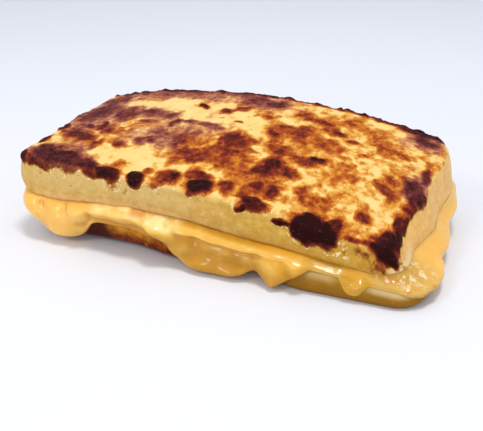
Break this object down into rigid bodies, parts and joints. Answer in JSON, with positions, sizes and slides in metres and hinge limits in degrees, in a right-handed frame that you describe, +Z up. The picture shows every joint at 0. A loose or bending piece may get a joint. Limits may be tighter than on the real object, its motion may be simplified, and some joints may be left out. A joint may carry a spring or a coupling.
{
  "type": "croque monsieur",
  "caption": "Grilled cheese sandwich: long browned slices with melted cheese between them, oozing out and hanging in lobes over the lower slice",
  "frame": {"origin": "middle of the sandwich's outline in plan, on the plane that its underside rests on", "axes": "+X along the length, to the thin end; -Y out of the long side with the big hanging lobe; +Z up"},
  "size_m": [0.1546, 0.0854, 0.0409],
  "materials": {
    "slice_side": "satin",
    "cheese": "gloss",
    "browned_crust": "satin"
  },
  "bodies": {
    "root": {"bottom_slice": "slice_side", "melted_cheese": "cheese", "top_slice": "browned_crust"}
  },
  "joints": []
}
